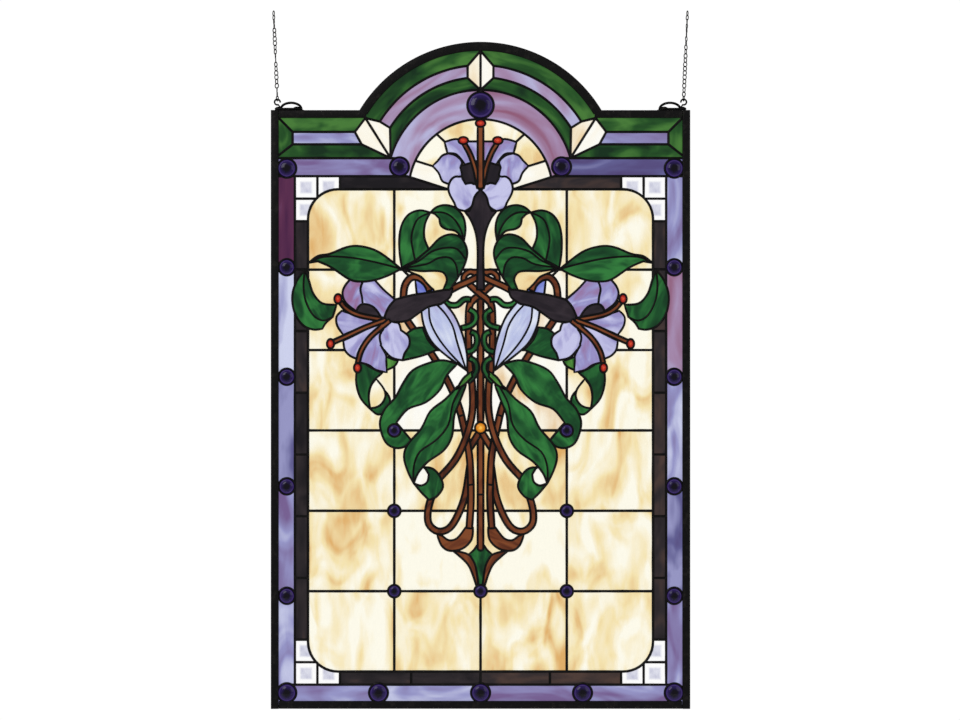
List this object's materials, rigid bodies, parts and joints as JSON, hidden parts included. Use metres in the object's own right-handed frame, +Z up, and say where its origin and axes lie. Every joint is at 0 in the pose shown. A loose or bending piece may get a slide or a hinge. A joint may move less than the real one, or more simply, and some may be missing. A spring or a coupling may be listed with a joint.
{
  "type": "stained glass window",
  "caption": "Hanging arched art-glass panel in a metal came frame, with lilies, leaves and a jewelled border, on two chains.",
  "frame": {"origin": "halfway between the top ends of the two chains, where the panel is hung up", "axes": "+Z up along the panel's height, -Y out of the front face, +X to the right seen from the front"},
  "size_m": [0.559, 0.0106, 0.9313],
  "materials": {
    "came": "blackened zinc came",
    "wire": "blackened wire and chain",
    "solder": "solder seams with black patina",
    "violet_jewel": "deep violet cast glass",
    "green_glass": "green opalescent glass",
    "leaf_glass": "deep green streaky glass",
    "cream_glass": "cream and amber opalescent glass",
    "white_glass": "ivory opalescent glass",
    "lilac_glass": "lilac streaky glass",
    "lily_glass": "pale blue and lilac glass",
    "dark_glass": "near-black brown glass",
    "stem_glass": "red-brown glass"
  },
  "bodies": {
    "root": {"came_bottom": "came", "came_arch": "came", "came_side_left": "came", "came_side_right": "came", "came_shoulder_left": "came", "came_shoulder_right": "came", "hook_left": "wire", "hook_right": "wire", "chain_left": "wire", "chain_right": "wire", "seams": "solder", "jewel_top": "violet_jewel", "jewel_bottom": "violet_jewel", "jewel_arch_left": "violet_jewel", "jewel_arch_right": "violet_jewel", "jewel_upper_corner_left": "violet_jewel", "jewel_upper_corner_right": "violet_jewel", "jewel_lower_corner_left": "violet_jewel", "jewel_lower_corner_right": "violet_jewel", "jewel_bottom_side_left": "violet_jewel", "jewel_bottom_side_right": "violet_jewel", "jewel_side_1_left": "violet_jewel", "jewel_side_1_right": "violet_jewel", "jewel_side_2_left": "violet_jewel", "jewel_side_2_right": "violet_jewel", "jewel_side_3_left": "violet_jewel", "jewel_side_3_right": "violet_jewel", "jewel_side_4_left": "violet_jewel", "jewel_side_4_right": "violet_jewel", "glass_arch_left": "green_glass", "glass_arch_right": "green_glass", "glass_shoulder_left": "green_glass", "glass_shoulder_right": "green_glass", "glass_upper_leaves_left": "leaf_glass", "glass_upper_leaves_right": "leaf_glass", "glass_lower_leaves_left": "leaf_glass", "glass_lower_leaves_right": "leaf_glass", "glass_fan": "cream_glass", "glass_field_low_left": "cream_glass", "glass_field_low_right": "cream_glass", "glass_field_middle_left": "cream_glass", "glass_field_middle_right": "cream_glass", "glass_field_top_left": "cream_glass", "glass_field_top_right": "cream_glass", "glass_keystone_top": "white_glass", "glass_keystone_left": "white_glass", "glass_keystone_right": "white_glass", "glass_band_left": "lilac_glass", "glass_band_right": "lilac_glass", "glass_top_border_left": "lilac_glass", "glass_top_border_right": "lilac_glass", "glass_side_border_left": "lilac_glass", "glass_side_border_right": "lilac_glass", "glass_top_lily": "lily_glass", "glass_side_lily_left": "lily_glass", "glass_side_lily_right": "lily_glass", "glass_bud_left": "lily_glass", "glass_bud_right": "lily_glass", "glass_dark_strips": "dark_glass", "glass_stems": "stem_glass"}
  },
  "joints": []
}
